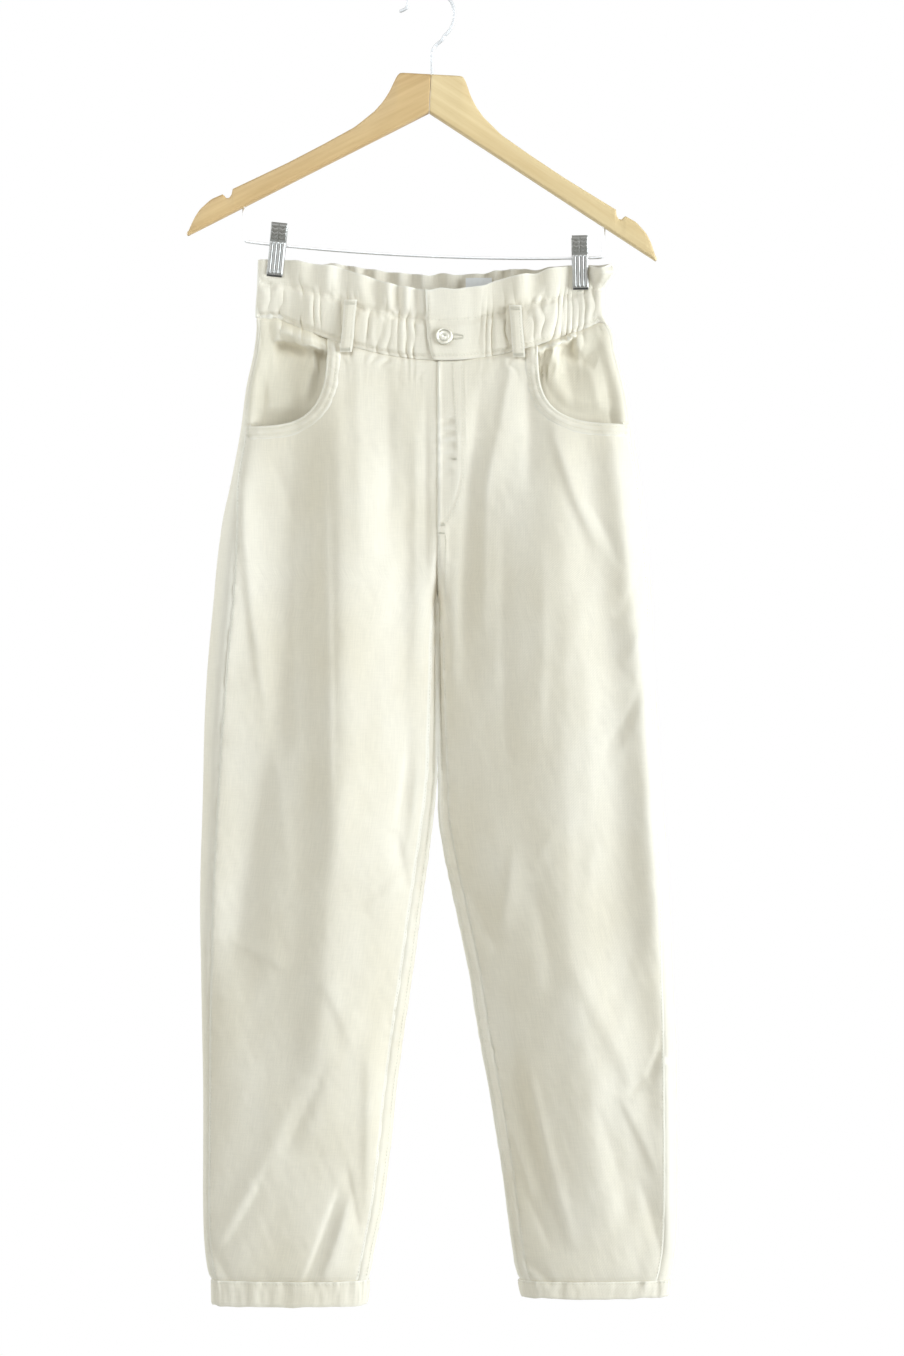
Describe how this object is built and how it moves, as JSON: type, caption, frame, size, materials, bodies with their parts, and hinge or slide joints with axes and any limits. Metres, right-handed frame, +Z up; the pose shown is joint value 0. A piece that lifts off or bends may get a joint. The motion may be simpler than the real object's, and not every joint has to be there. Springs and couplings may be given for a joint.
{
  "type": "jeans on a clip hanger",
  "caption": "Cream tapered jeans with a gathered paperbag waist, clipped by the waistband to a wooden hanger.",
  "frame": {"origin": "inside top of the hanger's hook, where it rests on a rail", "axes": "+Z up; the front of the jeans faces -Y; the wearer's left is +X"},
  "size_m": [0.4669, 0.0757, 1.258],
  "materials": {
    "denim": "cream cotton twill, matte",
    "denim_inside": "cream cotton twill, matte, a little warmer",
    "label": "plain white woven tape",
    "button_metal": "pale satin",
    "beech_dark": "satin lacquered beech",
    "beech_light": "satin lacquered beech",
    "hook_chrome": "polished",
    "clip_steel": "satin, nickel plated",
    "clip_rubber": "matte"
  },
  "bodies": {
    "root": {"front_right": "denim", "front_left": "denim", "back_right": "denim", "back_left": "denim", "waist_front_right": "denim", "waist_front_left": "denim", "waist_back": "denim", "fly": "denim", "pocket_facing_right": "denim_inside", "pocket_facing_left": "denim_inside", "pocket_hem_right": "denim", "pocket_hem_left": "denim", "hem_right": "denim", "hem_left": "denim", "belt_loop_front_right": "denim", "belt_loop_front_left": "denim", "belt_loop_back_right": "denim", "belt_loop_back_centre": "denim", "belt_loop_back_left": "denim", "back_label": "label", "button": "button_metal", "hanger_wood_right": "beech_dark", "hanger_wood_left": "beech_light", "hanger_hook": "hook_chrome", "hanger_bar": "hook_chrome", "clip_right_front_jaw": "clip_steel", "clip_right_back_jaw": "clip_steel", "clip_right_front_pad": "clip_rubber", "clip_right_back_pad": "clip_rubber", "clip_right_spring": "clip_steel", "clip_left_front_jaw": "clip_steel", "clip_left_back_jaw": "clip_steel", "clip_left_front_pad": "clip_rubber", "clip_left_back_pad": "clip_rubber", "clip_left_spring": "clip_steel"}
  },
  "joints": []
}
